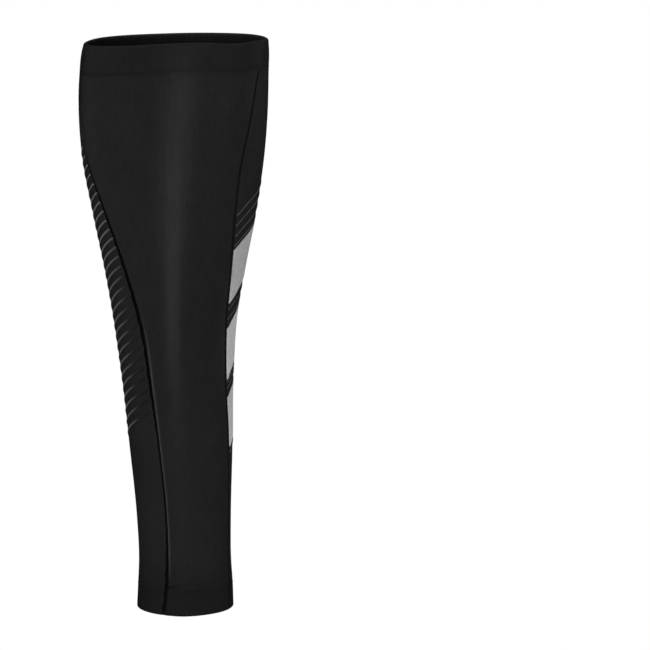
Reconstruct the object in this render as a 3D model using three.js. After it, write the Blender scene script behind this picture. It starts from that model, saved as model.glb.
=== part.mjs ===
// Calf compression sleeve for one leg, in the form it has when it is worn.
// Millimetres. +Z runs up the leg, -Y is the shin, +X is the inner side of the leg.
// The origin is the middle of the leg where the calf is widest.

import * as THREE from 'three';

// Sizes of the worn sleeve
const FINISHED_LENGTH = 345;
const SEAT_HEIGHT = 305;
const CALF_WIDTH = 114;
const CALF_SHIN_REACH = 55;
const CALF_BACK_REACH = 63;
const ANKLE_WIDTH = 56;
const ANKLE_SHIN_REACH = 33;
const ANKLE_BACK_REACH = 37;
const ANKLE_LEAN = 5.7;
const SHIN_CREST = 2.4;
const SHIN_CREST_SPREAD = 24;
const RIM_RISE = 2.2;

// Knit, hems and seams
const KNIT_THICKNESS = 1;
const FOLD_GAP = 0.4;
const TOP_HEM = 17;
const BOTTOM_HEM = 14.5;
const OUTER_SEAM_WIDTH = 4;
const INNER_SEAM_WIDTH = 2.8;
const SEAM_PROUD = 0.45;
const PIECE_GAP = 0.3;

// Grey blocks, a film on the inner side of the back panel
const FILM_THICKNESS = 0.35;
const FILM_INSET = 0.4;
const FILM_END_ANGLE = 392;

// Steps of the faceted surfaces
const LENGTH_STEPS = 21;
const FOLD_STEPS = 4;
const FRONT_COLUMNS = 22;
const BACK_COLUMNS = 32;
const FILM_COLUMNS = 10;
const FILM_ROWS = 4;

// Shape of the leg from the bottom edge (up 0) to the top edge (up 1).
// Each reach is a share of the way from the ankle size (0) to the calf size (1).
const LEG_SHAPE = [
  { up: 0.00, outer: 0.040, inner: 0.070, shin: 0.020, back: 0.060 },
  { up: 0.04, outer: 0.020, inner: 0.050, shin: 0.010, back: 0.020 },
  { up: 0.09, outer: 0.000, inner: 0.005, shin: 0.000, back: 0.000 },
  { up: 0.16, outer: 0.032, inner: 0.005, shin: 0.080, back: 0.050 },
  { up: 0.27, outer: 0.135, inner: 0.045, shin: 0.260, back: 0.190 },
  { up: 0.40, outer: 0.268, inner: 0.072, shin: 0.500, back: 0.420 },
  { up: 0.51, outer: 0.413, inner: 0.165, shin: 0.660, back: 0.670 },
  { up: 0.60, outer: 0.565, inner: 0.382, shin: 0.770, back: 0.850 },
  { up: 0.70, outer: 0.767, inner: 0.678, shin: 0.870, back: 0.975 },
  { up: 0.79, outer: 0.935, inner: 0.882, shin: 0.940, back: 1.000 },
  { up: 0.88, outer: 1.002, inner: 0.992, shin: 0.985, back: 0.940 },
  { up: 0.95, outer: 0.978, inner: 1.018, shin: 1.000, back: 0.850 },
  { up: 0.98, outer: 0.945, inner: 1.028, shin: 0.990, back: 0.800 },
  { up: 1.00, outer: 0.895, inner: 1.014, shin: 0.975, back: 0.765 },
];

// Routes of the middles of the two seams, as angles round the leg in degrees
const SEAM_ROUTES = [
  { up: 0.00, outer: 250.1, inner: 340.0 },
  { up: 0.05, outer: 253.2, inner: 341.5 },
  { up: 0.12, outer: 253.8, inner: 344.8 },
  { up: 0.20, outer: 253.5, inner: 343.8 },
  { up: 0.30, outer: 250.7, inner: 339.6 },
  { up: 0.40, outer: 247.9, inner: 332.6 },
  { up: 0.50, outer: 244.4, inner: 328.4 },
  { up: 0.60, outer: 233.5, inner: 324.2 },
  { up: 0.70, outer: 220.2, inner: 319.2 },
  { up: 0.78, outer: 207.5, inner: 319.4 },
  { up: 0.86, outer: 192.8, inner: 325.6 },
  { up: 0.93, outer: 182.1, inner: 332.0 },
  { up: 1.00, outer: 175.2, inner: 341.5 },
];

// Rise of the top edge round the leg, as shares of RIM_RISE
const RIM_SHAPE = [
  { angle: 0, rise: 0.55 },
  { angle: 30, rise: 1.00 },
  { angle: 70, rise: 0.90 },
  { angle: 110, rise: 0.55 },
  { angle: 150, rise: 0.20 },
  { angle: 180, rise: -0.40 },
  { angle: 210, rise: -0.60 },
  { angle: 240, rise: -0.05 },
  { angle: 270, rise: 0.80 },
  { angle: 290, rise: 0.85 },
  { angle: 312, rise: 0.35 },
  { angle: 335, rise: 0.75 },
  { angle: 360, rise: 0.55 },
];

// Edges of the grey blocks as shares of the length, at the inner seam and at the inner side
const GREY_BLOCKS = [
  { name: 'grey_block_upper', topSeam: 0.643, topSide: 0.684, lowSeam: 0.546, lowSide: 0.590 },
  { name: 'grey_block_middle', topSeam: 0.500, topSide: 0.543, lowSeam: 0.416, lowSide: 0.434 },
  { name: 'grey_block_lower', topSeam: 0.379, topSide: 0.403, lowSeam: 0.288, lowSide: 0.308 },
];

// Height of the raised middle of a seam across its width, as shares of SEAM_PROUD
const SEAM_CROWN = [0.2, 0.85, 1, 0.85, 0.2];

const FULL_TURN = 360;
const SHIN_ANGLE = 270;

function material(color, roughness) {
  return new THREE.MeshStandardMaterial({ color, roughness, metalness: 0 });
}

const FRONT_KNIT = material(0x212123, 0.72);
const BACK_KNIT = material(0x1d1d1f, 0.76);
const SEAM_KNIT = material(0x161617, 0.8);
const GREY_FILM = material(0x939496, 0.6);

// Smooth curve through one column of a table, read at a place along it
function tableCurve(table, along, column) {
  const places = table.map((row) => row[along]);
  const values = table.map((row) => row[column]);
  const curve = new THREE.CubicInterpolant(places, values, 1);
  const first = places[0];
  const last = places[places.length - 1];
  return (place) => curve.evaluate(THREE.MathUtils.clamp(place, first, last))[0];
}

const outerShare = tableCurve(LEG_SHAPE, 'up', 'outer');
const innerShare = tableCurve(LEG_SHAPE, 'up', 'inner');
const shinShare = tableCurve(LEG_SHAPE, 'up', 'shin');
const backShare = tableCurve(LEG_SHAPE, 'up', 'back');
const rimShare = tableCurve(RIM_SHAPE, 'angle', 'rise');
const outerSeam = { angleAt: tableCurve(SEAM_ROUTES, 'up', 'outer'), width: OUTER_SEAM_WIDTH };
const innerSeam = { angleAt: tableCurve(SEAM_ROUTES, 'up', 'inner'), width: INNER_SEAM_WIDTH };

// Reaches of the leg from its axis at a share of the length
function legReaches(up) {
  const { lerp } = THREE.MathUtils;
  return {
    outer: lerp(ANKLE_WIDTH / 2 - ANKLE_LEAN, CALF_WIDTH / 2, outerShare(up)),
    inner: lerp(ANKLE_WIDTH / 2 + ANKLE_LEAN, CALF_WIDTH / 2, innerShare(up)),
    shin: lerp(ANKLE_SHIN_REACH, CALF_SHIN_REACH, shinShare(up)),
    back: lerp(ANKLE_BACK_REACH, CALF_BACK_REACH, backShare(up)),
  };
}

// Place on the outside of the leg and the way the surface runs there, per radian
function legSection(up, angle) {
  const reach = legReaches(up);
  const turn = THREE.MathUtils.degToRad(angle);
  const halfWidth = (reach.inner + reach.outer) / 2;
  const middle = (reach.inner - reach.outer) / 2;
  const depth = Math.sin(turn) > 0 ? reach.back : reach.shin;
  const fromShin = THREE.MathUtils.euclideanModulo(angle, FULL_TURN) - SHIN_ANGLE;
  const crest = SHIN_CREST * Math.exp(-((fromShin / SHIN_CREST_SPREAD) ** 2));
  const crestFall = 2 * crest * fromShin / SHIN_CREST_SPREAD ** 2;
  return {
    place: new THREE.Vector2(middle + halfWidth * Math.cos(turn), depth * Math.sin(turn) - crest),
    run: new THREE.Vector2(
      -halfWidth * Math.sin(turn),
      depth * Math.cos(turn) + THREE.MathUtils.radToDeg(crestFall),
    ),
  };
}

// Point at a height above the bottom edge, set in from the outside of the leg
function legPoint(height, angle, inset) {
  const { place, run } = legSection(height / FINISHED_LENGTH, angle);
  const inward = new THREE.Vector2(-run.y, run.x).normalize();
  place.addScaledVector(inward, inset);
  return new THREE.Vector3(place.x, place.y, height - SEAT_HEIGHT);
}

// Height of a profile point, whose share runs from the bottom edge to the top edge
function edgeHeight(point, angle) {
  const rise = RIM_RISE * rimShare(THREE.MathUtils.euclideanModulo(angle, FULL_TURN));
  return point.share * (FINISHED_LENGTH + rise) + point.shift;
}

// Angle that lies a distance round the leg from a seam's middle
function besideSeam(seam, up, distance) {
  const angle = seam.angleAt(up);
  const speed = legSection(up, angle).run.length();
  return angle + THREE.MathUtils.radToDeg(distance / speed);
}

// Closed sheet of two faces over a grid; place(station, column, face) gives its points
function thickSheet(name, look, stations, columns, place) {
  const positions = [];
  const indices = [];
  const stride = columns.length;
  const layer = stations.length * stride;
  for (const face of ['outside', 'inside']) {
    for (const station of stations) {
      for (const column of columns) {
        positions.push(...place(station, column, face).toArray());
      }
    }
  }
  const quad = (a, b, c, d) => indices.push(a, b, c, a, c, d);
  const lastStation = stations.length - 1;
  const lastColumn = columns.length - 1;
  for (let i = 0; i < lastStation; i += 1) {
    for (let j = 0; j < lastColumn; j += 1) {
      const corner = i * stride + j;
      const above = corner + stride;
      quad(corner, corner + 1, above + 1, above);
      quad(layer + corner, layer + above, layer + above + 1, layer + corner + 1);
    }
    const start = i * stride;
    const end = start + lastColumn;
    quad(start, start + stride, layer + start + stride, layer + start);
    quad(end, layer + end, layer + end + stride, end + stride);
  }
  for (let j = 0; j < lastColumn; j += 1) {
    const top = lastStation * stride + j;
    quad(j, layer + j, layer + j + 1, j + 1);
    quad(top, top + 1, layer + top + 1, layer + top);
  }
  const geometry = new THREE.BufferGeometry();
  geometry.setAttribute('position', new THREE.Float32BufferAttribute(positions, 3));
  geometry.setIndex(indices);
  geometry.computeVertexNormals();
  const mesh = new THREE.Mesh(geometry, look);
  mesh.name = name;
  return mesh;
}

// Even steps from 0 to 1
function shares(steps) {
  return Array.from({ length: steps + 1 }, (_, step) => step / steps);
}

// Stations of the wall from the raw edge of the bottom hem, round its fold, up the leg and
// over into the top hem. Each has a point on the outside face and one on the inside face.
function wallStations(proud) {
  const foldInset = KNIT_THICKNESS + FOLD_GAP / 2;
  const hemInset = KNIT_THICKNESS + FOLD_GAP;
  const outsideRadius = foldInset + proud / 2;
  const outsideMiddle = foldInset - proud / 2;
  const hemStation = (share, shift) => ({
    outside: { share, shift, inset: hemInset + KNIT_THICKNESS },
    inside: { share, shift, inset: hemInset },
  });
  const foldStation = (share, way, turned) => {
    const turn = turned * Math.PI;
    return {
      outside: {
        share,
        shift: way * (foldInset - outsideRadius * Math.sin(turn)),
        inset: outsideMiddle + outsideRadius * Math.cos(turn),
      },
      inside: {
        share,
        shift: way * (foldInset - FOLD_GAP / 2 * Math.sin(turn)),
        inset: foldInset + FOLD_GAP / 2 * Math.cos(turn),
      },
    };
  };
  const wallStation = (share, shift) => ({
    outside: { share, shift, inset: -proud },
    inside: { share, shift, inset: KNIT_THICKNESS },
  });
  const legRows = shares(LENGTH_STEPS).slice(1, -1);
  return [
    hemStation(0, BOTTOM_HEM),
    hemStation(0, BOTTOM_HEM / 2),
    ...shares(FOLD_STEPS).map((turned) => foldStation(0, 1, turned)),
    wallStation(0, BOTTOM_HEM / 2),
    ...legRows.map((share) => wallStation(share, 0)),
    wallStation(1, -TOP_HEM / 2),
    ...shares(FOLD_STEPS).reverse().map((turned) => foldStation(1, -1, turned)),
    hemStation(1, -TOP_HEM / 2),
    hemStation(1, -TOP_HEM),
  ];
}

// Knit panel from one seam round the leg to the next
function knitPanel(name, look, fromSeam, toSeam, columnCount) {
  return thickSheet(name, look, wallStations(0), shares(columnCount), (station, column, face) => {
    const point = station[face];
    const up = point.share + point.shift / FINISHED_LENGTH;
    const from = besideSeam(fromSeam, up, fromSeam.width / 2 + PIECE_GAP);
    const to = besideSeam(toSeam, up, -toSeam.width / 2 - PIECE_GAP);
    const angle = THREE.MathUtils.lerp(from, to > from ? to : to + FULL_TURN, column);
    return legPoint(edgeHeight(point, angle), angle, point.inset);
  });
}

// Flat seam between two panels, with its middle raised
function flatSeam(name, seam) {
  const walls = SEAM_CROWN.map((crown) => wallStations(SEAM_PROUD * crown));
  const stations = [...walls[0].keys()];
  const columns = [...walls.keys()];
  return thickSheet(name, SEAM_KNIT, stations, columns, (station, column, face) => {
    const point = walls[column][station][face];
    const up = point.share + point.shift / FINISHED_LENGTH;
    const across = column / (walls.length - 1);
    const angle = besideSeam(seam, up, across * seam.width - seam.width / 2);
    return legPoint(edgeHeight(point, angle), angle, point.inset);
  });
}

// Grey block, whose lower and upper edges slant up from the inner seam
function greyBlock(block) {
  const { lerp } = THREE.MathUtils;
  const seamEdge = innerSeam.width / 2 + PIECE_GAP + FILM_INSET;
  return thickSheet(
    block.name,
    GREY_FILM,
    shares(FILM_ROWS),
    shares(FILM_COLUMNS),
    (share, column, face) => {
      const seamUp = lerp(block.lowSeam, block.topSeam, share);
      const seamAngle = innerSeam.angleAt(seamUp);
      const angle = lerp(besideSeam(innerSeam, seamUp, seamEdge), FILM_END_ANGLE, column);
      const towardSide = (angle - seamAngle) / (FULL_TURN - seamAngle);
      const low = lerp(block.lowSeam, block.lowSide, towardSide);
      const top = lerp(block.topSeam, block.topSide, towardSide);
      const inset = face === 'outside' ? -PIECE_GAP - FILM_THICKNESS : -PIECE_GAP;
      return legPoint(lerp(low, top, share) * FINISHED_LENGTH, angle, inset);
    },
  );
}

const sleeve = new THREE.Group();
sleeve.name = 'calf_compression_sleeve';
sleeve.add(knitPanel('front_panel', FRONT_KNIT, outerSeam, innerSeam, FRONT_COLUMNS));
sleeve.add(knitPanel('back_panel', BACK_KNIT, innerSeam, outerSeam, BACK_COLUMNS));
sleeve.add(flatSeam('outer_seam', outerSeam));
sleeve.add(flatSeam('inner_seam', innerSeam));
for (const block of GREY_BLOCKS) {
  sleeve.add(greyBlock(block));
}

export default sleeve;
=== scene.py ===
# Calf compression sleeve for one leg, in the form it has when it is worn.
# Metres. +Z runs up the leg, -Y is the shin, +X is the inner side of the leg.
# The origin is the middle of the leg where the calf is widest.

import math
import random

import bpy
import numpy as np
from mathutils import Matrix, Vector


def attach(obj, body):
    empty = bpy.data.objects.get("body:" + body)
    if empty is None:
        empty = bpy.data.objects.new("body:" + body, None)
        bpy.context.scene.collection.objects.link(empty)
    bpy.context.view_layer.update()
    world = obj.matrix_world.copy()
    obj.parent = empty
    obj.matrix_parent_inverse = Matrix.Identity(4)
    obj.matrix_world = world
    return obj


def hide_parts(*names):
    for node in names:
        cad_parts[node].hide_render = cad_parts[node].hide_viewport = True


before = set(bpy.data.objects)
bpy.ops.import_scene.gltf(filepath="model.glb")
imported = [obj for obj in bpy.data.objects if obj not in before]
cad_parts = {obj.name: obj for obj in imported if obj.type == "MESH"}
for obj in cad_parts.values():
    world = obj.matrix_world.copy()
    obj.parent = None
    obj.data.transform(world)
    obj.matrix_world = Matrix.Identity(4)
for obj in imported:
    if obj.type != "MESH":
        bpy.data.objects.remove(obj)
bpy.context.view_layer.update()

# Sizes of the worn sleeve
FINISHED_LENGTH = 0.345
SEAT_HEIGHT = 0.305
CALF_WIDTH = 0.114
CALF_SHIN_REACH = 0.055
CALF_BACK_REACH = 0.063
ANKLE_WIDTH = 0.056
ANKLE_SHIN_REACH = 0.033
ANKLE_BACK_REACH = 0.037
ANKLE_LEAN = 0.0057
SHIN_CREST = 0.0024
SHIN_CREST_SPREAD = 24
RIM_RISE = 0.0022

# Knit and hems
KNIT_THICKNESS = 0.001
FOLD_GAP = 0.0004
FOLD_RADIUS = KNIT_THICKNESS + FOLD_GAP / 2
TOP_HEM = 0.017
BOTTOM_HEM = 0.0145
FOLD_STEPS = 10
# Rows of the wall lie closer together over the hems and a little way past them
ROW_STEP = 0.0017
HEM_ROW_STEP = 0.0007
PAST_BOTTOM_HEM = 0.009
PAST_TOP_HEM = 0.004
FRONT_COLUMNS = 96
BACK_COLUMNS = 150
EDGE_CROWDING = 0.72

# Shape of the leg from the bottom edge (0) to the top edge (1). Each reach is a share of the
# way from the ankle size (0) to the calf size (1): place, outer, inner, shin, back.
LEG_SHAPE = (
    (0.00, 0.040, 0.070, 0.020, 0.060),
    (0.04, 0.020, 0.050, 0.010, 0.020),
    (0.09, 0.000, 0.005, 0.000, 0.000),
    (0.16, 0.032, 0.005, 0.080, 0.050),
    (0.27, 0.135, 0.045, 0.260, 0.190),
    (0.40, 0.268, 0.072, 0.500, 0.420),
    (0.51, 0.413, 0.165, 0.660, 0.670),
    (0.60, 0.565, 0.382, 0.770, 0.850),
    (0.70, 0.767, 0.678, 0.870, 0.975),
    (0.79, 0.935, 0.882, 0.940, 1.000),
    (0.88, 1.002, 0.992, 0.985, 0.940),
    (0.95, 0.978, 1.018, 1.000, 0.850),
    (0.98, 0.945, 1.028, 0.990, 0.800),
    (1.00, 0.895, 1.014, 0.975, 0.765),
)

# Angles round the leg of the middles of the two seams: place, outer, inner
SEAM_ROUTES = (
    (0.00, 250.1, 340.0),
    (0.05, 253.2, 341.5),
    (0.12, 253.8, 344.8),
    (0.20, 253.5, 343.8),
    (0.30, 250.7, 339.6),
    (0.40, 247.9, 332.6),
    (0.50, 244.4, 328.4),
    (0.60, 233.5, 324.2),
    (0.70, 220.2, 319.2),
    (0.78, 207.5, 319.4),
    (0.86, 192.8, 325.6),
    (0.93, 182.1, 332.0),
    (1.00, 175.2, 341.5),
)

# Rise of the top edge round the leg, as shares of RIM_RISE: angle, rise
RIM_SHAPE = (
    (0, 0.55), (30, 1.00), (70, 0.90), (110, 0.55), (150, 0.20), (180, -0.40), (210, -0.60),
    (240, -0.05), (270, 0.80), (290, 0.85), (312, 0.35), (335, 0.75), (360, 0.55),
)

# Outer seam across its width, from the back panel to the front panel: across, height.
# A deep groove lies beside the back panel and a rolled ridge beside the front panel.
OUTER_SEAM_PROFILE = (
    (-0.0052, -0.00075), (-0.0045, -0.00088), (-0.0037, -0.00095), (-0.0029, -0.00095),
    (-0.0023, -0.00088), (-0.0018, -0.00064), (-0.0014, -0.00028), (-0.0011, 0.00008),
    (-0.0007, 0.00030), (-0.0002, 0.00034), (0.0004, 0.00024), (0.0010, 0.00010),
    (0.0016, 0.00001), (0.0021, -0.00012), (0.0027, -0.00045),
)
INNER_SEAM_PROFILE = (
    (-0.0019, -0.00050), (-0.0013, -0.00060), (-0.0005, -0.00066), (0.0004, -0.00068),
    (0.0013, -0.00066), (0.0021, -0.00060), (0.0027, -0.00050),
)
# How far the ridge of the outer seam stands up along the sleeve: place, share
RIDGE_STRENGTH = (
    (0.00, 0.15), (0.05, 0.25), (0.08, 0.55), (0.12, 1.00), (0.40, 1.00), (0.46, 0.80),
    (0.52, 0.40), (0.62, 0.20), (0.80, 0.20), (1.00, 0.15),
)
# How wide the groove of the outer seam is along the sleeve: place, share
GROOVE_WIDTH = (
    (0.00, 1.00), (0.05, 1.00), (0.08, 0.90), (0.12, 0.70), (0.30, 0.64), (0.36, 0.80),
    (0.42, 1.04), (0.60, 1.15), (0.70, 1.10), (0.80, 1.00), (1.00, 0.90),
)
GROOVE_WOBBLE = 0.05
GROOVE_WOBBLE_TURNS = (31, 53)
# How deep both seams lie along the sleeve: place, share
SEAM_DEPTH = (
    (0.000, 0.05), (0.006, 0.50), (0.013, 1.00), (0.945, 1.00), (0.958, 0.60), (0.985, 0.50),
    (0.995, 0.30), (1.000, 0.10),
)
SEAM_THICKNESS = 0.0009

# Edges of the panels beside the seams: distance from the seam's middle to the cut edge,
# how deep the edge rolls under, and how far the roll reaches. Inside, the roll is shallower.
OUTER_SEAM_BACK_EDGE = (0.00420, 0.00060, 0.00040)
OUTER_SEAM_FRONT_EDGE = (0.00130, 0.00010, 0.00060)
INNER_SEAM_FRONT_EDGE = (0.00075, 0.00045, 0.00060)
INNER_SEAM_BACK_EDGE = (0.00150, 0.00045, 0.00060)
ROLL_SHARPNESS = 1.6
INSIDE_ROLL = 0.5

# Raised lines on the outer side of the calf, whose heights are those at LINE_ANGLE
LINE_COUNT = 28
LINE_ANGLE = 201
LINE_HEIGHTS = (
    (0, 0.2845), (1, 0.2781), (5, 0.2522), (9, 0.2277), (13, 0.2037), (17, 0.1783),
    (21, 0.1525), (25, 0.1263), (27, 0.1127),
)
LINE_SLOPE = 0.462
LINE_WIDTH = 0.0011
LINE_PROUD = 0.00009
LINE_END_ANGLE = 104
LINE_TAPER = 0.12
LINE_STEPS = 84
# A line's route is found in this many steps down the calf, and in steps of this many degrees
# from LINE_ANGLE to the outer seam
CALF_ROUTE_STEPS = 200
SEAM_ROUTE_STEP = 0.25
# Width of the raised lines from the first down: line, share
LINE_WIDTHS = ((0, 0.60), (4, 0.75), (8, 1.00), (27, 1.00))

# Fine stripes on the inner side: height at STRIPE_ANGLE. All climb round the leg alike.
STRIPE_ANGLE = 330
PINSTRIPES = (
    0.2484, 0.2417, 0.2346, 0.2280, 0.1857, 0.1794, 0.1383, 0.1345, 0.0945, 0.0915,
)
# Climb of a slanting edge from its height at STRIPE_ANGLE: angle, climb
STRIPE_CLIMB = (
    (318, -0.0076), (322, -0.0050), (326, -0.0024), (330, 0.0000), (334, 0.0020),
    (338, 0.0036), (342, 0.0051), (346, 0.0064), (350, 0.0077), (360, 0.0108),
    (392, 0.0200),
)
PINSTRIPE_WIDTH = 0.0008
PINSTRIPE_PROUD = 0.00008
PINSTRIPE_TAPER = 0.1
PINSTRIPE_STEPS = 36

# Raised lines and fine stripes across their width, how thick their film is, and the share of
# the width that is left where they end
RIBBON_CROWN = (0, 0.75, 1, 0.75, 0)
RIBBON_THICKNESS = 0.00022
RIBBON_END_WIDTH = 0.08

# Grey blocks on the inner side: name, lightness from 0 to 1, then angle and height along the
# upper and lower edge
GREY_BLOCKS = (
    (
        "grey_block_upper", 0,
        ((318, 0.2178), (326, 0.2229), (330, 0.2253), (335, 0.2279), (342, 0.2305),
         (350, 0.2333), (360, 0.2364), (392, 0.2450)),
        ((318, 0.1838), (330, 0.1897), (334, 0.1919), (338, 0.1940), (342, 0.1964),
         (346, 0.1984), (351, 0.2003), (360, 0.2032), (392, 0.2120)),
    ),
    (
        "grey_block_middle", 1,
        ((320, 0.1682), (331, 0.1738), (335, 0.1762), (338, 0.1781), (342, 0.1801),
         (347, 0.1821), (353, 0.1846), (360, 0.1872), (392, 0.1965)),
        ((320, 0.1360), (332, 0.1407), (336, 0.1430), (342, 0.1470), (348, 0.1494),
         (354, 0.1512), (360, 0.1528), (392, 0.1600)),
    ),
    (
        "grey_block_lower", 1,
        ((325, 0.1256), (336, 0.1309), (340, 0.1331), (343, 0.1347), (346, 0.1359),
         (352, 0.1374), (360, 0.1394), (392, 0.1470)),
        ((325, 0.0945), (340, 0.0994), (344, 0.1008), (348, 0.1025), (352, 0.1040),
         (360, 0.1063), (392, 0.1135)),
    ),
)
FILM_END_ANGLE = 392
FILM_SEAM_EDGE = 0.0017
FILM_PROUD = 0.00030
FILM_THICKNESS = 0.00022
FILM_EDGE_TRIES = 5
FILM_ROWS = 40
FILM_COLUMNS = 48

# Hem stitching
STITCH_PITCH = 0.0026
STITCH_LENGTH = 0.0019
STITCH_THREAD = 0.00036
STITCH_PROUD = 0.00006
STITCH_SEGMENTS = 8
STITCH_RINGS = 6
TOP_STITCH_DROP = 0.0164
BOTTOM_STITCH_RISE = 0.0149
# The stitches stop this far from the middle of each seam, and each is laid along the knit
# between two places, this share of a step on either side of its middle
OUTER_STITCH_GAP = 0.0032
INNER_STITCH_GAP = 0.0024
STITCH_LEAN_SHARE = 0.3

FULL_TURN = 360
SHIN_ANGLE = 270
BACK_ANGLE = 90
SMOOTH_ANGLE = 50


def smooth_curve(table, column):
    """Smooth curve through one column of a table, read at a place along its first column."""
    places = np.array([row[0] for row in table], float)
    values = np.array([row[column] for row in table], float)
    steps = np.diff(values) / np.diff(places)
    slopes = np.concatenate(([steps[0]], (steps[:-1] + steps[1:]) / 2, [steps[-1]]))

    def read(place):
        place = np.clip(place, places[0], places[-1])
        below = np.clip(np.searchsorted(places, place, side="right") - 1, 0, len(steps) - 1)
        span = places[below + 1] - places[below]
        t = (place - places[below]) / span
        return (
            (2 * t**3 - 3 * t**2 + 1) * values[below]
            + (t**3 - 2 * t**2 + t) * span * slopes[below]
            + (3 * t**2 - 2 * t**3) * values[below + 1]
            + (t**3 - t**2) * span * slopes[below + 1]
        )

    return read


def straight_curve(table, column):
    """Straight lines through one column of a table, read at a place along its first column."""
    places = [row[0] for row in table]
    values = [row[column] for row in table]
    return lambda place: np.interp(place, places, values)


outer_share, inner_share, shin_share, back_share = (
    smooth_curve(LEG_SHAPE, column) for column in (1, 2, 3, 4)
)
outer_seam_angle = smooth_curve(SEAM_ROUTES, 1)
inner_seam_angle = smooth_curve(SEAM_ROUTES, 2)
rim_share = smooth_curve(RIM_SHAPE, 1)
ridge_strength = smooth_curve(RIDGE_STRENGTH, 1)
groove_share = smooth_curve(GROOVE_WIDTH, 1)
seam_depth = straight_curve(SEAM_DEPTH, 1)
line_height = smooth_curve(LINE_HEIGHTS, 1)
line_width = straight_curve(LINE_WIDTHS, 1)
stripe_climb = smooth_curve(STRIPE_CLIMB, 1)


def between(start, end, share):
    """Value that lies a share of the way from a start to an end."""
    return start + (end - start) * share


def leg_section(up, angle):
    """Place on the outside of the leg, and the way the surface runs there per radian."""
    outer = between(ANKLE_WIDTH / 2 - ANKLE_LEAN, CALF_WIDTH / 2, outer_share(up))
    inner = between(ANKLE_WIDTH / 2 + ANKLE_LEAN, CALF_WIDTH / 2, inner_share(up))
    shin = between(ANKLE_SHIN_REACH, CALF_SHIN_REACH, shin_share(up))
    back = between(ANKLE_BACK_REACH, CALF_BACK_REACH, back_share(up))
    turn = np.radians(angle)
    half_width = (inner + outer) / 2
    middle = (inner - outer) / 2
    depth = np.where(np.sin(turn) > 0, back, shin)
    from_shin = np.mod(angle, FULL_TURN) - SHIN_ANGLE
    crest = SHIN_CREST * np.exp(-((from_shin / SHIN_CREST_SPREAD) ** 2))
    crest_fall = 2 * crest * from_shin / SHIN_CREST_SPREAD**2
    place = middle + half_width * np.cos(turn), depth * np.sin(turn) - crest
    run = -half_width * np.sin(turn), depth * np.cos(turn) + np.degrees(crest_fall)
    return place, run


def leg_points(height, angle, inset):
    """Points at a height above the bottom edge, set in from the outside of the leg."""
    (x, y), (run_x, run_y) = leg_section(height / FINISHED_LENGTH, angle)
    run = np.hypot(run_x, run_y)
    return np.stack(
        (x - run_y / run * inset, y + run_x / run * inset, height - SEAT_HEIGHT), axis=-1
    )


def surface_speed(up, angle):
    """Distance round the leg for one degree."""
    _, (run_x, run_y) = leg_section(up, angle)
    return np.radians(np.hypot(run_x, run_y))


def beside_seam(seam_angle, up, distance):
    """Angle that lies a distance round the leg from a seam's middle."""
    angle = seam_angle(up)
    return angle + distance / surface_speed(up, angle)


def rim_height(angle):
    """Height of the top edge at an angle round the leg."""
    return FINISHED_LENGTH + RIM_RISE * rim_share(np.mod(angle, FULL_TURN))


def on_sleeve(height, angle):
    """Share of the length, angle counted on from the back, and distance round the leg from the
    outer seam's middle."""
    up = np.clip(height / FINISHED_LENGTH, 0, 1)
    turn = np.mod(angle - BACK_ANGLE, FULL_TURN) + BACK_ANGLE
    return up, turn, (turn - outer_seam_angle(up)) * surface_speed(up, angle)


# Soft waves of the knit: how many, how high, and the ranges of their turns, for one degree
# round the leg and for one metre up it
WAVE_SEED = 41
WAVE_COUNT = 14
WAVE_HEIGHT = 0.00004
WAVE_ROUND = (0.03, 0.11)
WAVE_UP = (25, 150)
random.seed(WAVE_SEED)
WAVES = [
    (random.uniform(*WAVE_ROUND), random.uniform(*WAVE_UP), random.uniform(0, math.tau))
    for _ in range(WAVE_COUNT)
]


def rolled_edge(distance, edge, cut=0):
    """Drop of a panel's edge beside a seam, at a distance past a cut edge."""
    _, depth, reach = edge
    return -depth * np.exp(-((np.maximum(distance - cut, 0) / reach) ** ROLL_SHARPNESS))


def groove_width(up):
    """Width of the outer seam's groove, which wavers a little."""
    slow, quick = (np.sin(math.tau * turns * up + turns) for turns in GROOVE_WOBBLE_TURNS)
    return groove_share(up) * (1 + GROOVE_WOBBLE * (slow + quick))


def groove_edge(up):
    """Distance from the outer seam's middle to the back panel."""
    return OUTER_SEAM_BACK_EDGE[0] * groove_width(up)


def soft_bump(value, middle, spread):
    """Share that is 1 at a middle and fades away on both sides of it."""
    return np.exp(-(((value - middle) / spread) ** 2))


# How far the stitching of the hems draws the knit in round the leg: angle, top, bottom
STITCH_PULL = (
    (0, 0.50, 0.60), (60, 0.80, 0.50), (120, 0.50, 0.70), (185, 0.80, 0.35), (225, 0.85, 0.12),
    (240, 0.45, 0.10), (255, 0.40, 0.35), (265, 0.40, 0.85), (285, 0.60, 1.00),
    (300, 0.80, 0.95), (315, 0.60, 0.45), (330, 0.90, 0.45), (345, 0.85, 0.80),
    (360, 0.50, 0.60),
)
STITCH_DIP = 0.00011
STITCH_SPREAD = 0.0008

# Tuck that runs from the outer seam just above the bottom hem: its route, the width and depth
# of its crease, and the fold that stands up above it
TUCK_START = -0.0022
TUCK_HEIGHT = 0.0168
TUCK_SLOPE = 0.24
TUCK_MIDDLE = 0.0015
TUCK_REACH = 0.0070
TUCK_WIDTH = 0.0006
TUCK_DEPTH = 0.00055
FOLD_RISE = 0.0018
FOLD_WIDTH = 0.0013
TUCK_RISE = 0.00030

top_pull = smooth_curve(STITCH_PULL, 1)
bottom_pull = smooth_curve(STITCH_PULL, 2)


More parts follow.
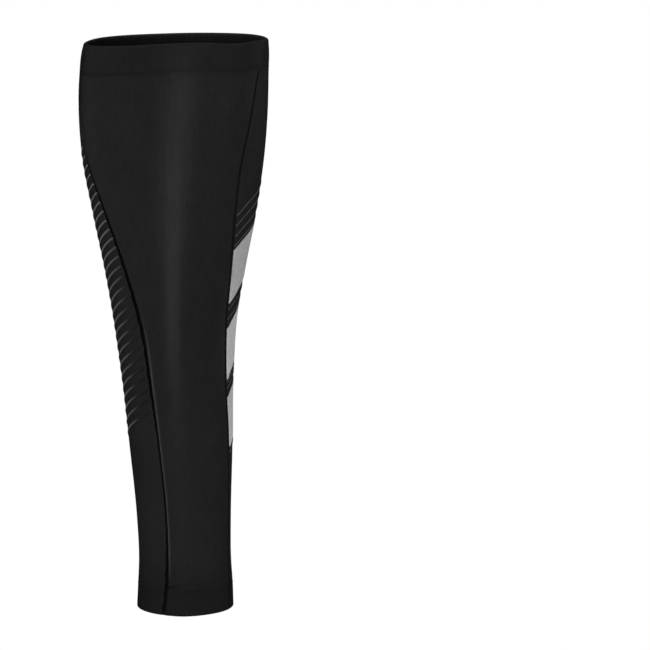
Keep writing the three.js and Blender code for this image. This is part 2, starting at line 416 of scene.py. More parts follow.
def stitch_pull(height, angle):
    """How far the stitching of the two hems draws the knit in at a place."""
    turn = np.mod(angle, FULL_TURN)
    below_rim = rim_height(angle) - height
    top = top_pull(turn) * soft_bump(below_rim, TOP_STITCH_DROP, STITCH_SPREAD)
    bottom = bottom_pull(turn) * soft_bump(height, BOTTOM_STITCH_RISE, STITCH_SPREAD)
    return top + bottom


def tuck(height, from_outer):
    """The crease of the tuck and the fold above it."""
    reach = np.where(from_outer > TUCK_START, soft_bump(from_outer, TUCK_MIDDLE, TUCK_REACH), 0)
    line = height - TUCK_HEIGHT - TUCK_SLOPE * (from_outer - TUCK_START)
    return reach * soft_bump(line, 0, TUCK_WIDTH), reach * soft_bump(line, FOLD_RISE, FOLD_WIDTH)


def knit_relief(height, angle):
    """How far the outside of the knit stands off the smooth leg."""
    up, turn, from_outer = on_sleeve(height, angle)
    speed = surface_speed(up, angle)
    from_inner = (turn - inner_seam_angle(up)) * speed
    past_inner = (turn - FULL_TURN - inner_seam_angle(up)) * speed
    from_inner = np.where(np.abs(past_inner) < np.abs(from_inner), past_inner, from_inner)
    relief = np.where(
        from_outer > 0,
        rolled_edge(from_outer, OUTER_SEAM_FRONT_EDGE, OUTER_SEAM_FRONT_EDGE[0]),
        rolled_edge(-from_outer, OUTER_SEAM_BACK_EDGE, groove_edge(up)),
    )
    relief = relief + np.where(
        from_inner < 0,
        rolled_edge(-from_inner, INNER_SEAM_FRONT_EDGE, INNER_SEAM_FRONT_EDGE[0]),
        rolled_edge(from_inner, INNER_SEAM_BACK_EDGE, INNER_SEAM_BACK_EDGE[0]),
    )
    relief = relief * seam_depth(up) - STITCH_DIP * stitch_pull(height, angle)
    crease, fold = tuck(height, from_outer)
    relief = relief - TUCK_DEPTH * crease + TUCK_RISE * fold
    wave = 0
    for per_degree, per_metre, start in WAVES:
        wave = wave + np.sin(per_degree * turn + per_metre * height + start)
    return relief + WAVE_HEIGHT * wave / math.sqrt(WAVE_COUNT)


def wall_path():
    """Rows from the raw edge of the bottom hem, round its fold, up the leg and over into the
    top hem: share of the length, shift, inset, the outward way up and in, and the distance
    run."""
    def spread(start, end, step):
        return np.linspace(start, end, max(2, round(abs(end - start) / step)) + 1)

    rows = []
    for shift in spread(BOTTOM_HEM, FOLD_RADIUS, ROW_STEP)[:-1]:
        rows.append((0, shift, 2 * FOLD_RADIUS, 0, 1))
    for turn in np.linspace(0, math.pi, FOLD_STEPS + 1)[:-1]:
        rows.append((
            0, FOLD_RADIUS - FOLD_RADIUS * math.sin(turn),
            FOLD_RADIUS + FOLD_RADIUS * math.cos(turn), -math.sin(turn), math.cos(turn),
        ))
    fold_end = FOLD_RADIUS / FINISHED_LENGTH
    hem_end = (BOTTOM_HEM + PAST_BOTTOM_HEM) / FINISHED_LENGTH
    hem_start = 1 - (TOP_HEM + PAST_TOP_HEM) / FINISHED_LENGTH
    for start, end, step in (
        (fold_end, hem_end, HEM_ROW_STEP),
        (hem_end, hem_start, ROW_STEP),
        (hem_start, 1 - fold_end, HEM_ROW_STEP),
    ):
        for share in spread(start, end, step / FINISHED_LENGTH)[:-1]:
            rows.append((share, 0, 0, 0, -1))
    for turn in np.linspace(math.pi, 0, FOLD_STEPS + 1):
        rows.append((
            1, FOLD_RADIUS * math.sin(turn) - FOLD_RADIUS,
            FOLD_RADIUS + FOLD_RADIUS * math.cos(turn), math.sin(turn), math.cos(turn),
        ))
    for shift in spread(-FOLD_RADIUS, -TOP_HEM, ROW_STEP)[1:]:
        rows.append((1, shift, 2 * FOLD_RADIUS, 0, 1))
    path = np.array(rows, float)
    heights = path[:, 0] * FINISHED_LENGTH + path[:, 1]
    steps = np.hypot(np.diff(heights), np.diff(path[:, 2]))
    return np.column_stack((path, np.concatenate(([0], np.cumsum(steps)))))


def path_points(path, angle, relief):
    """Points of the path's rows at angles round the leg, raised by a relief."""
    share, shift, inset, way_up, way_in = (path[..., k] for k in range(5))
    height = share * rim_height(angle) + shift + way_up * relief
    return leg_points(height, angle, inset + way_in * relief)


# Making of pieces
def pick_nothing():
    """Nothing selected, so that the next operator acts on its own piece alone."""
    bpy.ops.object.select_all(action="DESELECT")


def wrapped_grid(name, columns, rows, place, shade):
    """Grid of faces laid on the leg; place(column, row) gives its points and its map, and
    shade(column, row) the tone its finish mixes in, mostly painted shade and painted highlight."""
    pick_nothing()
    bpy.ops.mesh.primitive_grid_add(
        x_subdivisions=columns, y_subdivisions=rows, size=1, location=(0, 0, 0)
    )
    piece = bpy.context.object
    piece.name = name
    piece.data.name = name
    mesh = piece.data
    column, row = grid_places(piece, columns, rows)
    points, chart = place(column, row)
    set_shade(piece, shade(column, row))
    mesh.vertices.foreach_set("co", points.ravel())
    corners = np.zeros(len(mesh.loops), int)
    mesh.loops.foreach_get("vertex_index", corners)
    mesh.uv_layers.active.name = "fabric"
    mesh.uv_layers.active.data.foreach_set("uv", chart[corners].ravel())
    mesh.update()
    return piece


def set_shade(piece, shade):
    """Tone that the piece's finish mixes in, from 0 to 1. On the knit and the seams it carries
    darker hems and painted shade, along the outer seam's ridge a painted highlight, on the lines a
    painted reflection, and on the grey blocks how light they are.
    """
    layer = piece.data.attributes.new("shade", "FLOAT", "POINT")
    layer.data.foreach_set("value", np.asarray(shade, np.float32))


def grid_places(piece, columns, rows):
    """Column and row of each point of a plain grid."""
    flat = np.zeros(len(piece.data.vertices) * 3)
    piece.data.vertices.foreach_get("co", flat)
    flat = flat.reshape(-1, 3)
    column = np.rint((flat[:, 0] + 0.5) * columns).astype(int)
    row = np.rint((flat[:, 1] + 0.5) * rows).astype(int)
    return column, row


def thicken(piece, thickness):
    """Wall thickness behind the shown face, and smooth shading."""
    pick_nothing()
    piece.select_set(True)
    bpy.context.view_layer.objects.active = piece
    wall = piece.modifiers.new("wall", "SOLIDIFY")
    wall.thickness = thickness
    wall.offset = -1
    wall.use_even_offset = False
    bpy.ops.object.modifier_apply(modifier=wall.name)
    bpy.ops.object.shade_smooth_by_angle(angle=math.radians(SMOOTH_ANGLE))


def join(pieces, name):
    """One piece made of several."""
    pick_nothing()
    for piece in pieces:
        piece.select_set(True)
    bpy.context.view_layer.objects.active = pieces[0]
    bpy.ops.object.join()
    joined = bpy.context.object
    joined.name = name
    joined.data.name = name
    return joined


def crowded(share):
    """Column shares that lie closer together at both edges."""
    return share - EDGE_CROWDING * np.sin(math.tau * share) / math.tau


MAP_RADIUS = 0.045


def fabric_chart(angle, along):
    """Map of the knit: round the leg, then up the leg, in metres at a middle width."""
    return np.stack((np.radians(angle) * MAP_RADIUS, along), axis=-1)


# How much darker the knit is toward the bottom edge, fading out 5 cm up, and over the top hem:
# height, share
HEM_TONES = (
    (0.000, 1.15), (0.010, 1.05), (0.014, 0.95), (0.018, 0.80), (0.024, 0.62), (0.034, 0.22),
    (0.050, 0.00), (0.300, 0.00), (0.325, 0.08), (0.328, 0.52), (0.335, 0.58), (0.350, 0.62),
)
hem_shade = straight_curve(HEM_TONES, 1)
# Painted shade inside the sleeve, growing darker down from the top edge: drop, share
INSIDE_TONES = ((0.000, 0.00), (0.002, 0.15), (0.005, 0.75), (0.008, 1.00), (0.017, 1.00))
inside_painted_shade = straight_curve(INSIDE_TONES, 1)
# Painted shade along the hem stitching, and painted shade in the crease of the tuck
STITCH_PAINTED_SHADE = 0.45
TUCK_SHADE = 1.3


def crease_shade(height, angle):
    """How dark the outside is painted: darker in the hems, with painted shade along their
    stitching and in the crease of the tuck.
    """
    _, _, from_outer = on_sleeve(height, angle)
    crease, _ = tuck(height, from_outer)
    stitching = stitch_pull(height, angle)
    return hem_shade(height) + STITCH_PAINTED_SHADE * stitching + TUCK_SHADE * crease


def knit_panel(name, start_seam, start_edge, end_seam, end_edge, columns):
    """Panel that runs round the leg from one seam to the other, with both hems turned in."""
    path = wall_path()
    up = path[:, 0] + path[:, 1] / FINISHED_LENGTH
    end_cut = groove_edge(up) if end_edge is OUTER_SEAM_BACK_EDGE else end_edge[0]
    start = beside_seam(start_seam, up, start_edge[0])
    end = beside_seam(end_seam, up, -end_cut)
    end = np.where(end > start, end, end + FULL_TURN)
    outside = path[:, 4] < 0

    def place(column, row):
        angle = between(start[row], end[row], crowded(column / columns))
        height = path[row, 0] * FINISHED_LENGTH + path[row, 1]
        relief = np.where(outside[row], knit_relief(height, angle), 0)
        speed = surface_speed(up[row], angle)
        roll = np.minimum(
            rolled_edge((angle - start[row]) * speed, start_edge),
            rolled_edge((end[row] - angle) * speed, end_edge),
        )
        relief = np.where(outside[row], relief, roll * INSIDE_ROLL)
        return path_points(path[row], angle, relief), fabric_chart(angle, path[row, 5])

    def shade(column, row):
        angle = between(start[row], end[row], crowded(column / columns))
        height = path[row, 0] * FINISHED_LENGTH + path[row, 1]
        # Painted shade inside, darker down from the top edge; outside, the darker hems and the
        # painted shade along the stitching and in the tuck
        inside = inside_painted_shade(FINISHED_LENGTH - height)
        return np.where(outside[row], crease_shade(height, angle), inside)

    panel = wrapped_grid(name, columns, len(path) - 1, place, shade)
    thicken(panel, KNIT_THICKNESS)
    return panel


def seam_strip(name, seam, profile, width, relief_at, shade_at):
    """Strip under a seam. Its groove has a width along the sleeve, and relief_at and shade_at
    give its relief and shade from its profile."""
    path = wall_path()
    up = path[:, 0] + path[:, 1] / FINISHED_LENGTH
    across = np.array([point[0] for point in profile])
    height = np.array([point[1] for point in profile])

    def place(column, row):
        distance = np.where(across[column] < 0, across[column] * width(up[row]), across[column])
        angle = beside_seam(seam, up[row], distance)
        relief = relief_at(across[column], height[column], up[row]) * seam_depth(up[row])
        return path_points(path[row], angle, relief), fabric_chart(angle, path[row, 5])

    def shade(column, row):
        return shade_at(across[column], height[column], up[row])

    strip = wrapped_grid(name, len(profile) - 1, len(path) - 1, place, shade)
    thicken(strip, SEAM_THICKNESS)
    return strip


# Tones of the outer seam: the shade that is as light as the panels and how much darker it is in
# the hems, the depth where the flanks grow dark with painted shade in the groove, the painted
# highlight along the crest of the ridge and the strength of the ridge from which it shows, the
# painted shade of the tuck, and the ends of the seam, where the groove's painted shade is lighter
PANEL_SHADE = 0.25
HEM_DARKENING = 0.38
FLANK_DEPTH = 0.0006
RIDGE_LIGHT_PLACE = -0.0006
RIDGE_LIGHT_WIDTH = 0.0008
RIDGE_LIGHT_START = 0.3
RIDGE_TUCK_SHADE = 0.7
SEAM_END_SHADE = 0.6
# How light the knit under the inner seam is painted along the sleeve, dark with painted shade in
# its groove and lighter over the top hem: place, share
INNER_SEAM_TONES = ((0.00, 0.10), (0.94, 0.10), (0.955, 0.30), (1.00, 0.32))
inner_seam_painted_shade = straight_curve(INNER_SEAM_TONES, 1)


def ridge_relief(across, height, up):
    """Relief of the outer seam at a place in its profile and along the sleeve."""
    crease, _ = tuck(up * FINISHED_LENGTH, across)
    ridge = np.maximum(height, 0) * ridge_strength(up)
    return np.minimum(height, 0) + ridge - TUCK_DEPTH * crease


def ridge_painted_shade_and_highlight(across, height, up):
    """How light the outer seam is painted at a place in its profile and along the sleeve: painted
    shade deep in its groove and in the tuck, and a painted highlight along the crest of its ridge.
    """
    # Painted shade deep in the groove, lighter where the seam grows shallow at its ends
    end = SEAM_END_SHADE * (1 - seam_depth(up))
    flank = np.maximum(np.clip((height + FLANK_DEPTH) / FLANK_DEPTH, 0, 1), end)
    # Painted highlight along the crest of the ridge, where the ridge stands up
    crest = soft_bump(across, RIDGE_LIGHT_PLACE, RIDGE_LIGHT_WIDTH)
    light = np.clip((ridge_strength(up) - RIDGE_LIGHT_START) / (1 - RIDGE_LIGHT_START), 0, 1)
    panel = PANEL_SHADE * (1 - HEM_DARKENING * hem_shade(up * FINISHED_LENGTH))
    # Painted shade in the crease of the tuck
    crease, _ = tuck(up * FINISHED_LENGTH, across)
    return (panel * flank + (1 - PANEL_SHADE) * crest * light) * (1 - RIDGE_TUCK_SHADE * crease)


# How light the lines are painted round the leg: a painted reflection that is bright round the
# back, brightest near the outline and gone before the outer seam, and a lighter tone again on the
# inner side for the fine stripes: angle, share
LINE_TONES = (
    (90, 0.80), (190, 1.00), (201, 1.00), (207, 0.85), (214, 0.65), (221, 0.45), (227, 0.22),
    (232, 0.04), (240, 0.00), (300, 0.00), (318, 0.42), (340, 0.46), (392, 0.60),
)
line_tone_and_sheen = straight_curve(LINE_TONES, 1)
# How much sooner a raised line's painted reflection fades toward the outer seam, in degrees:
# line, turn
LINE_FADES = ((0, 0), (8, 0), (15, 6), (27, 7))
line_fade = straight_curve(LINE_FADES, 1)


def surface_ribbon(name, angles, heights, width, proud, tones):
    """Raised line on the knit along a route, with its width and its tone at each step."""
    steps = len(angles) - 1
    speed = surface_speed(heights / FINISHED_LENGTH, angles)
    run_round = np.gradient(angles) * speed
    run_up = np.gradient(heights)
    run = np.hypot(run_round, run_up)
    side_round, side_up = -run_up / run, run_round / run
    crown = np.array(RIBBON_CROWN)

    def place(column, row):
        across = (column / (len(RIBBON_CROWN) - 1) - 0.5) * width[row]
        angle = angles[row] + side_round[row] * across / speed[row]
        height = heights[row] + side_up[row] * across
        raise_by = proud * crown[column] * np.minimum(1, width[row] / np.max(width))
        relief = knit_relief(height, angle) + raise_by
        return leg_points(height, angle, -relief), fabric_chart(angle, height)

    ribbon = wrapped_grid(
        name, len(RIBBON_CROWN) - 1, steps, place, lambda column, row: tones[row]
    )
    thicken(ribbon, RIBBON_THICKNESS)
    return ribbon


def drawn_width(width, steps, taper):
    """Width along a line that narrows over its last share."""
    left = 1 - np.linspace(0, 1, steps + 1)
    return width * np.sqrt(np.clip(left / taper, RIBBON_END_WIDTH, 1))


def raised_line(number):
    """Line that starts at the outer seam and runs down round the calf."""
    start_height = float(line_height(number))
    calf_angles = np.linspace(LINE_ANGLE, LINE_END_ANGLE, CALF_ROUTE_STEPS)
    calf_heights = [start_height]
    for back, ahead in zip(calf_angles[:-1], calf_angles[1:]):
        speed = surface_speed(calf_heights[-1] / FINISHED_LENGTH, back)
        calf_heights.append(calf_heights[-1] + LINE_SLOPE * speed * (ahead - back))
    seam_angles = [float(LINE_ANGLE)]
    seam_heights = [start_height]
    while True:
        up = seam_heights[-1] / FINISHED_LENGTH
        if seam_angles[-1] >= beside_seam(outer_seam_angle, up, -groove_edge(up)):
            break
        speed = surface_speed(up, seam_angles[-1])
        seam_angles.append(seam_angles[-1] + SEAM_ROUTE_STEP)
        seam_heights.append(seam_heights[-1] + LINE_SLOPE * speed * SEAM_ROUTE_STEP)
    route_angles = np.concatenate((np.array(seam_angles)[::-1], calf_angles[1:]))
    route_heights = np.concatenate((np.array(seam_heights)[::-1], np.array(calf_heights)[1:]))
    up = route_heights / FINISHED_LENGTH
    clear = route_angles < beside_seam(outer_seam_angle, up, -groove_edge(up))
    route_angles, route_heights = route_angles[clear], route_heights[clear]
    places = np.arange(len(route_angles))
    picked = np.linspace(0, len(route_angles) - 1, LINE_STEPS + 1)
    angles = np.interp(picked, places, route_angles)
    heights = np.interp(picked, places, route_heights)
    width = drawn_width(LINE_WIDTH * float(line_width(number)), LINE_STEPS, LINE_TAPER)
    # Painted reflection, fading out toward the outer seam
    tones = line_tone_and_sheen(angles + line_fade(number))
    return surface_ribbon("raised_line", angles, heights, width, LINE_PROUD, tones)


def pinstripe(middle_height):
    """Fine stripe that climbs from the inner seam round the inner side."""
    near = middle_height + float(stripe_climb(inner_seam_angle(middle_height / FINISHED_LENGTH)))
    start = float(beside_seam(inner_seam_angle, near / FINISHED_LENGTH, FILM_SEAM_EDGE))
    angles = np.linspace(start, FILM_END_ANGLE, PINSTRIPE_STEPS + 1)
    heights = middle_height + stripe_climb(angles)
    width = drawn_width(PINSTRIPE_WIDTH, PINSTRIPE_STEPS, PINSTRIPE_TAPER)
    return surface_ribbon(
        "pinstripe", angles, heights, width, PINSTRIPE_PROUD, line_tone_and_sheen(angles)
    )


def grey_block(name, lightness, upper_edge, lower_edge):
    """Grey film whose lower and upper edges slant up from the inner seam."""
    top_at = smooth_curve(upper_edge, 1)
    low_at = smooth_curve(lower_edge, 1)

    def place(column, row):
        share = row / FILM_ROWS
        start = STRIPE_ANGLE
        for _ in range(FILM_EDGE_TRIES):
            height = between(low_at(start), top_at(start), share)
            start = beside_seam(inner_seam_angle, height / FINISHED_LENGTH, FILM_SEAM_EDGE)
        angle = between(start, FILM_END_ANGLE, column / FILM_COLUMNS)
        height = between(low_at(angle), top_at(angle), share)
        relief = knit_relief(height, angle) + FILM_PROUD
        return leg_points(height, angle, -relief), fabric_chart(angle, height)

    block = wrapped_grid(
        name, FILM_COLUMNS, FILM_ROWS, place, lambda column, row: np.full(len(row), lightness)
    )
    thicken(block, FILM_THICKNESS)
    return block


def hem_stitches(name, height_at):
    """Row of short threads round a hem."""
    pick_nothing()
    bpy.ops.mesh.primitive_uv_sphere_add(
        segments=STITCH_SEGMENTS, ring_count=STITCH_RINGS, radius=0.5
    )
    thread = bpy.context.object
    thread.data.transform(Matrix.Diagonal((STITCH_LENGTH, STITCH_THREAD, STITCH_THREAD, 1)))
    seam_gaps = ((outer_seam_angle, OUTER_STITCH_GAP), (inner_seam_angle, INNER_STITCH_GAP))
    angle = 0.0
    threads = []
    while angle < FULL_TURN:
        height = float(height_at(angle))
        up = height / FINISHED_LENGTH
        step = STITCH_PITCH / float(surface_speed(up, angle))
        middle = angle + step / 2
        clear = all(
            abs(middle - float(seam(up))) * float(surface_speed(up, middle)) > gap
            for seam, gap in seam_gaps
        )
        if clear:
            reach = step * STITCH_LEAN_SHARE
            ends = [
                leg_points(height, end, -float(knit_relief(height, end)) - STITCH_PROUD)
                for end in (middle - reach, middle + reach)
            ]
            lean = Vector(ends[1] - ends[0]).normalized()
            _, (run_x, run_y) = leg_section(up, middle)
            outward = Vector((float(run_y), -float(run_x), 0)).normalized()
            upward = outward.cross(lean)
            place = Matrix((lean, upward, outward)).transposed().to_4x4()
            place.translation = Vector((ends[0] + ends[1]) / 2)
            copy = thread.copy()
            copy.data = thread.data.copy()
            copy.data.transform(place)
            bpy.context.collection.objects.link(copy)
            threads.append(copy)
        angle += step
    bpy.data.objects.remove(thread)
    stitches = join(threads, name)
    bpy.ops.object.shade_smooth()
    return stitches


# Finishes
def new_finish(name):
    """Finish with its nodes, its links and its shader."""
    finish = bpy.data.materials.new(name)
    finish.use_nodes = True
    nodes = finish.node_tree.nodes
    return finish, nodes, finish.node_tree.links, nodes["Principled BSDF"]


def add(nodes, kind, settings=None, values=None):
    """Node with its settings and the values of its inputs."""
    node = nodes.new(kind)
    for key, value in (settings or {}).items():
        setattr(node, key, value)
    for key, value in (values or {}).items():
        node.inputs[key].default_value = value
    return node


def ripple(nodes, links, source, pitch):
    """Even waves across one direction of the fabric map."""
    scaled = add(nodes, "ShaderNodeMath", {"operation": "MULTIPLY"}, {1: math.tau / pitch})
    wave = add(nodes, "ShaderNodeMath", {"operation": "SINE"})
    links.new(source, scaled.inputs[0])
    links.new(scaled.outputs[0], wave.inputs[0])
    return wave.outputs[0]


def weighted(nodes, links, source, extra, weight):
    """A value with a weighted share of another one added to it."""
    total = add(nodes, "ShaderNodeMath", {"operation": "MULTIPLY_ADD"}, {1: weight})
    links.new(extra, total.inputs[0])
    links.new(source, total.inputs[2])
    return total.outputs[0]


def ranged(nodes, links, source, start, end):
    """A value carried from one range to another."""
    span = add(
        nodes, "ShaderNodeMapRange", None,
        {"From Min": start[0], "From Max": start[1], "To Min": end[0], "To Max": end[1]},
    )
    links.new(source, span.inputs["Value"])
    return span.outputs["Result"]


def cloudy(nodes, links, place, scale, detail):
    """Soft noise from 0 to 1."""
    noise = add(
        nodes, "ShaderNodeTexNoise", None,
        {"Scale": scale, "Detail": detail, "Roughness": NOISE_ROUGHNESS},
    )
    links.new(place, noise.inputs["Vector"])
    return noise.outputs["Fac"]


# Ribs and courses of the knit, and how high the courses and the grain stand beside the ribs
WALE_PITCH = 0.00052
COURSE_PITCH = 0.00056
COURSE_RELIEF = 0.30
GRAIN_RELIEF = 0.9
# Scale and detail of the yarn grain, its mottling, the soft patches and the streaks of single
# yarns, and how drawn out the streaks are up the leg
NOISE_ROUGHNESS = 0.6
GRAIN = (900, 3)
MOTTLE = (420, 2)
PATCHES = (22, 4)
YARNS = (700, 2)
YARN_RUN = 0.12
# How much each of them and the loops of the knit change its tone, and the part of their range
# over which the tone goes from dark to light
PATCH_TONE = 0.30
LOOP_TONE = 0.08
GRAIN_TONE = 0.25
MOTTLE_TONE = 0.15
YARN_TONE = 0.30
TONE_SPAN = (0.3, 0.7)
# Part of the mottling's range over which the gloss changes, and the heights between which the
# front knit grows matte toward the ankle
GLOSS_SPAN = (0.35, 0.65)
MATTE_HEIGHTS = (-0.21, -0.14)


def knit_finish(name, tones, gloss, depth, shine, shade=None, wale_pitch=WALE_PITCH,
                course_pitch=COURSE_PITCH, hem_matte=0, ankle_matte=0):
    """Stretch knit with upright ribs crossed by courses. tones are its dark and light colour,
    gloss its smooth and rough ends, and depth the height of its relief. shade is a second pair
    of tones mixed in where the piece's "shade" attribute is high, which mostly carries painted
    shade and painted highlight; hem_matte makes those places rougher, and ankle_matte makes the
    ankle rougher."""
    finish, nodes, links, shader = new_finish(name)
    chart = add(nodes, "ShaderNodeUVMap", {"uv_map": "fabric"})
    split = add(nodes, "ShaderNodeSeparateXYZ")
    links.new(chart.outputs["UV"], split.inputs[0])
    wales = ripple(nodes, links, split.outputs["X"], wale_pitch)
    courses = ripple(nodes, links, split.outputs["Y"], course_pitch)
    loops = weighted(nodes, links, wales, courses, COURSE_RELIEF)
    place = add(nodes, "ShaderNodeTexCoord")
    grain, mottle, patches = (
        cloudy(nodes, links, place.outputs["Object"], *noise) for noise in (GRAIN, MOTTLE, PATCHES)
    )
    drawn = add(nodes, "ShaderNodeVectorMath", {"operation": "MULTIPLY"}, {1: (1, YARN_RUN, 1)})
    links.new(chart.outputs["UV"], drawn.inputs[0])
    yarns = cloudy(nodes, links, drawn.outputs[0], *YARNS)
    relief = weighted(nodes, links, loops, grain, GRAIN_RELIEF)
    bump = add(nodes, "ShaderNodeBump", None, {"Strength": 1, "Distance": depth})
    links.new(relief, bump.inputs["Height"])
    links.new(bump.outputs["Normal"], shader.inputs["Normal"])
    mixed = ranged(nodes, links, patches, (0, 1), (0, PATCH_TONE))
    for pattern, weight in (
        (loops, LOOP_TONE), (grain, GRAIN_TONE), (mottle, MOTTLE_TONE), (yarns, YARN_TONE)
    ):
        mixed = weighted(nodes, links, mixed, pattern, weight)
    colour = tone_ramp(nodes, links, mixed, tones)
    rough = ranged(nodes, links, mottle, GLOSS_SPAN, gloss)
    if shade:
        where = add(nodes, "ShaderNodeAttribute", {"attribute_name": "shade"})
        mix = add(nodes, "ShaderNodeMix", {"data_type": "RGBA"})
        links.new(where.outputs["Fac"], mix.inputs["Factor"])
        links.new(colour, mix.inputs["A"])
        links.new(tone_ramp(nodes, links, mixed, shade), mix.inputs["B"])
        colour = mix.outputs["Result"]
        rough = weighted(nodes, links, rough, where.outputs["Fac"], hem_matte)
    links.new(colour, shader.inputs["Base Color"])
    if ankle_matte:
        height = add(nodes, "ShaderNodeSeparateXYZ")
        links.new(place.outputs["Object"], height.inputs[0])
        matte = ranged(nodes, links, height.outputs["Z"], MATTE_HEIGHTS, (ankle_matte, 0))
        rough = weighted(nodes, links, rough, matte, 1)
    links.new(rough, shader.inputs["Roughness"])
    shader.inputs["Specular IOR Level"].default_value = shine
    return finish


def tone_ramp(nodes, links, source, tones):
    """Colour between a dark and a light tone."""
    ramp = add(nodes, "ShaderNodeValToRGB")
    for end, place, tone in zip(ramp.color_ramp.elements, TONE_SPAN, tones):
        end.position = place
        end.color = (*tone, 1)
    links.new(source, ramp.inputs["Fac"])
    return ramp.outputs["Color"]


# How much stronger the blue of a grey is
COOL_TINT = 1.02


def greys(dark, light):
    """Dark and light tone of a neutral grey, a trace cooler than plain."""
    return tuple((tone, tone, tone * COOL_TINT) for tone in (dark, light))


FRONT_FINISH = knit_finish(
    "front_knit", tones=greys(0.0087, 0.0173), gloss=(0.28, 0.34), depth=0.00001, shine=0.12,
    shade=greys(0.0060, 0.0112), hem_matte=0.15, ankle_matte=0.30,
)
BACK_FINISH = knit_finish(
    "back_knit", tones=greys(0.0098, 0.0180), gloss=(0.50, 0.60), depth=0.00002, shine=0.12,
    shade=greys(0.0064, 0.0118),
)
# Near black as painted shade in the seams' grooves, and light as the painted highlight along the
# outer seam's ridge
SEAM_FINISH = knit_finish(
    "seam_knit", tones=greys(0.0018, 0.0034), gloss=(0.50, 0.62), depth=0.00003, shine=0.10,
    shade=greys(0.0420, 0.0600), wale_pitch=0.0004, course_pitch=0.001,
)
THREAD_FINISH = knit_finish(
    "hem_thread", tones=greys(0.0065, 0.0100), gloss=(0.45, 0.60), depth=0.00001, shine=0.20,
    wale_pitch=0.0004, course_pitch=0.0004,
)
# Dark toward the outer seam and light where the lines' painted reflection is
LINE_FINISH = knit_finish(
    "line_film", tones=greys(0.0080, 0.0120), gloss=(0.28, 0.38), depth=0.00001, shine=0.30,
    shade=greys(0.1050, 0.1250),
)
GREY_FINISH = knit_finish(
    "grey_film", tones=greys(0.21, 0.53), gloss=(0.42, 0.52), depth=0.00003, shine=0.30,
    shade=greys(0.27, 0.63),
)


def dress(piece, finish):
    """One finish all over a piece."""
    piece.data.materials.clear()
    piece.data.materials.append(finish)


# Camera at the photograph's angle
CAMERA_DISTANCE = 2.5
CAMERA_RISE = math.radians(7.3)
LOOK_AT = Vector((0.0912, 0, -0.1321))
LENS_LENGTH = 228.46
SENSOR_WIDTH = 36
CAMERA_REACH = 100
camera_data = bpy.data.cameras.new("camera")
camera_data.lens = LENS_LENGTH
camera_data.sensor_width = SENSOR_WIDTH
camera_data.clip_end = CAMERA_REACH
camera = bpy.data.objects.new("camera", camera_data)
camera.location = LOOK_AT + CAMERA_DISTANCE * Vector(
    (0, -math.cos(CAMERA_RISE), math.sin(CAMERA_RISE))
)
camera.rotation_euler = (math.pi / 2 - CAMERA_RISE, 0, 0)
bpy.context.collection.objects.link(camera)
bpy.context.scene.camera = camera

# Knit panels
front_panel = knit_panel(
    "front_knit_panel", outer_seam_angle, OUTER_SEAM_FRONT_EDGE,
    inner_seam_angle, INNER_SEAM_FRONT_EDGE, FRONT_COLUMNS,
)
dress(front_panel, FRONT_FINISH)
back_panel = knit_panel(
    "back_knit_panel", inner_seam_angle, INNER_SEAM_BACK_EDGE,
    outer_seam_angle, OUTER_SEAM_BACK_EDGE, BACK_COLUMNS,
)
dress(back_panel, BACK_FINISH)

# Seams
outer_seam = seam_strip(
    "outer_seam_ridge", outer_seam_angle, OUTER_SEAM_PROFILE, groove_width, ridge_relief,
    ridge_painted_shade_and_highlight,
)
dress(outer_seam, SEAM_FINISH)
inner_seam = seam_strip(
    "inner_seam_strip", inner_seam_angle, INNER_SEAM_PROFILE, lambda up: 1,
    lambda across, height, up: height, lambda across, height, up: inner_seam_painted_shade(up),
)
dress(inner_seam, SEAM_FINISH)

# Lines, fine stripes and grey blocks
raised_lines = join([raised_line(number) for number in range(LINE_COUNT)], "raised_lines")
dress(raised_lines, LINE_FINISH)
pinstripes = join([pinstripe(height) for height in PINSTRIPES], "pinstripes")
dress(pinstripes, LINE_FINISH)
blocks = []
for block in GREY_BLOCKS:
    film = grey_block(block[0] + "_film", *block[1:])
    dress(film, GREY_FINISH)
    blocks.append(film)

# Hem stitching
top_stitches = hem_stitches(
    "top_hem_stitches", lambda angle: rim_height(angle) - TOP_STITCH_DROP
)
dress(top_stitches, THREAD_FINISH)
bottom_stitches = hem_stitches("bottom_hem_stitches", lambda angle: BOTTOM_STITCH_RISE)
dress(bottom_stitches, THREAD_FINISH)

# White floor, which the camera alone sees
FLOOR_DROP = 0.425
FLOOR_SIZE = 60
pick_nothing()
bpy.ops.mesh.primitive_plane_add(size=FLOOR_SIZE, location=(0, 0, -FLOOR_DROP))
floor = bpy.context.object
floor.name = "floor"
floor.data.transform(floor.matrix_world)
floor.matrix_world = Matrix.Identity(4)
pale = bpy.data.materials.new("pale_floor")
pale.use_nodes = True
pale.node_tree.nodes.clear()
glow = pale.node_tree.nodes.new("ShaderNodeEmission")
glow.inputs["Strength"].default_value = 1.0
glow.inputs["Color"].default_value = (1, 1, 1, 1)
shown = pale.node_tree.nodes.new("ShaderNodeOutputMaterial")
pale.node_tree.links.new(glow.outputs[0], shown.inputs["Surface"])
dress(floor, pale)
floor.visible_diffuse = False
floor.visible_glossy = False
floor.visible_shadow = False


# Softboxes. A sheen shows only as a reflection in the knit, and a fill only lights it.
SHEEN = "sheen"
FILL = "fill"
SHIN_TOP = (0.01, -0.05, 0.0)
SHIN_MIDDLE = (0.0, -0.045, -0.11)
LEG_MIDDLE = (0, 0, -0.13)
ANKLE_OUTER_SIDE = (-0.03, 0, -0.24)
ANKLE_INNER_SIDE = (0.03, 0, -0.24)
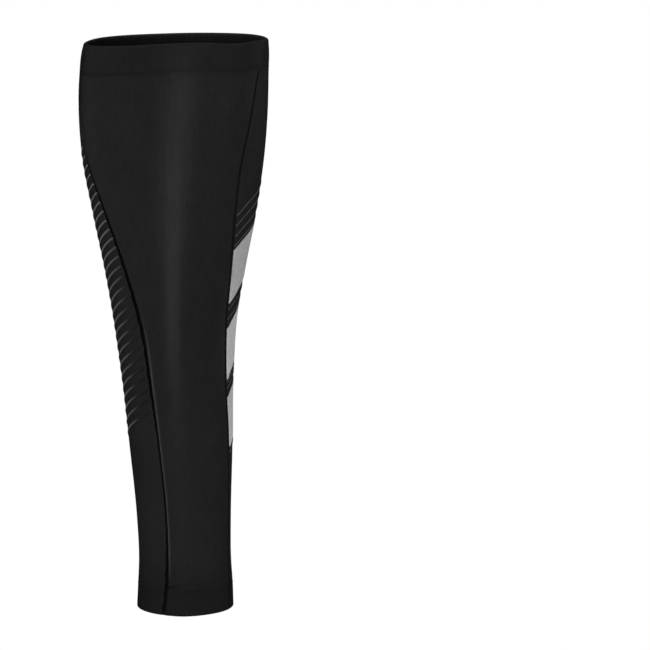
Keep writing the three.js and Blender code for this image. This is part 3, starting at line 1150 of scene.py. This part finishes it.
# Name, use, place, aim, width, height and power in watts
SOFTBOXES = (
    ("shin_strip_top", SHEEN, (0.95, -1.98, -0.13), SHIN_TOP, 0.12, 0.22, 1.7),
    ("shin_strip_middle", SHEEN, (0.66, -2.09, -0.32), SHIN_TOP, 0.12, 0.20, 1.3),
    ("shin_strip_low", SHEEN, (0.13, -2.2, -0.62), SHIN_MIDDLE, 0.14, 0.44, 3.7),
    ("shin_glow", SHEEN, (-0.45, -2.15, -0.85), SHIN_MIDDLE, 1.1, 0.9, 4.0),
    ("left_light", SHEEN, (-1.7, 0.75, 0.10), LEG_MIDDLE, 1.5, 1.5, 1.0),
    ("right_rim", SHEEN, (1.5, 1.15, 0.10), LEG_MIDDLE, 1.5, 1.5, 1.2),
    ("right_light", SHEEN, (1.8, -0.9, 0.25), LEG_MIDDLE, 1.0, 1.5, 1.6),
    ("front_fill", FILL, (-1.3, -2.3, 0.4), LEG_MIDDLE, 2.0, 1.2, 8),
    ("left_fill", FILL, (-2.3, -0.9, -0.55), ANKLE_OUTER_SIDE, 1.2, 1.2, 11),
    ("right_fill", FILL, (2.3, -0.9, -0.55), ANKLE_INNER_SIDE, 1.2, 1.2, 6),
    ("opening_light", FILL, (0.0, -0.05, 0.75), LEG_MIDDLE, 0.25, 0.25, 4),
    ("top_light", FILL, (0.1, -0.5, 2.1), LEG_MIDDLE, 1.5, 1.5, 14),
)


def softbox(name, use, place, aim, width, height, power):
    """Rectangular light that the camera doesn't see."""
    light = bpy.data.lights.new(name, "AREA")
    light.shape = "RECTANGLE"
    light.size = width
    light.size_y = height
    light.energy = power
    box = bpy.data.objects.new(name, light)
    box.location = place
    box.rotation_euler = (Vector(aim) - Vector(place)).to_track_quat("-Z", "Y").to_euler()
    box.visible_camera = False
    box.visible_diffuse = use == FILL
    box.visible_glossy = use == SHEEN
    bpy.context.collection.objects.link(box)


for row in SOFTBOXES:
    softbox(*row)

# Even light of the room
ROOM_LIGHT = 0.80
world = bpy.data.worlds.new("studio")
world.use_nodes = True
world.node_tree.nodes["Background"].inputs["Color"].default_value = (1, 1, 1, 1)
world.node_tree.nodes["Background"].inputs["Strength"].default_value = ROOM_LIGHT
bpy.context.scene.world = world
world.cycles_visibility.glossy = False
bpy.context.scene.view_settings.view_transform = "Standard"

# What each piece stands for
for piece, node, slot in (
    (front_panel, "front_panel", "front_knit"),
    (back_panel, "back_panel", "back_knit"),
    (outer_seam, "outer_seam", "seam_knit"),
    (inner_seam, "inner_seam", "seam_knit"),
    (blocks[0], "grey_block_upper", "grey_film"),
    (blocks[1], "grey_block_middle", "grey_film"),
    (blocks[2], "grey_block_lower", "grey_film"),
):
    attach(piece, "root")
    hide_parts(node)
for piece in (raised_lines, pinstripes, top_stitches, bottom_stitches):
    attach(piece, "root")
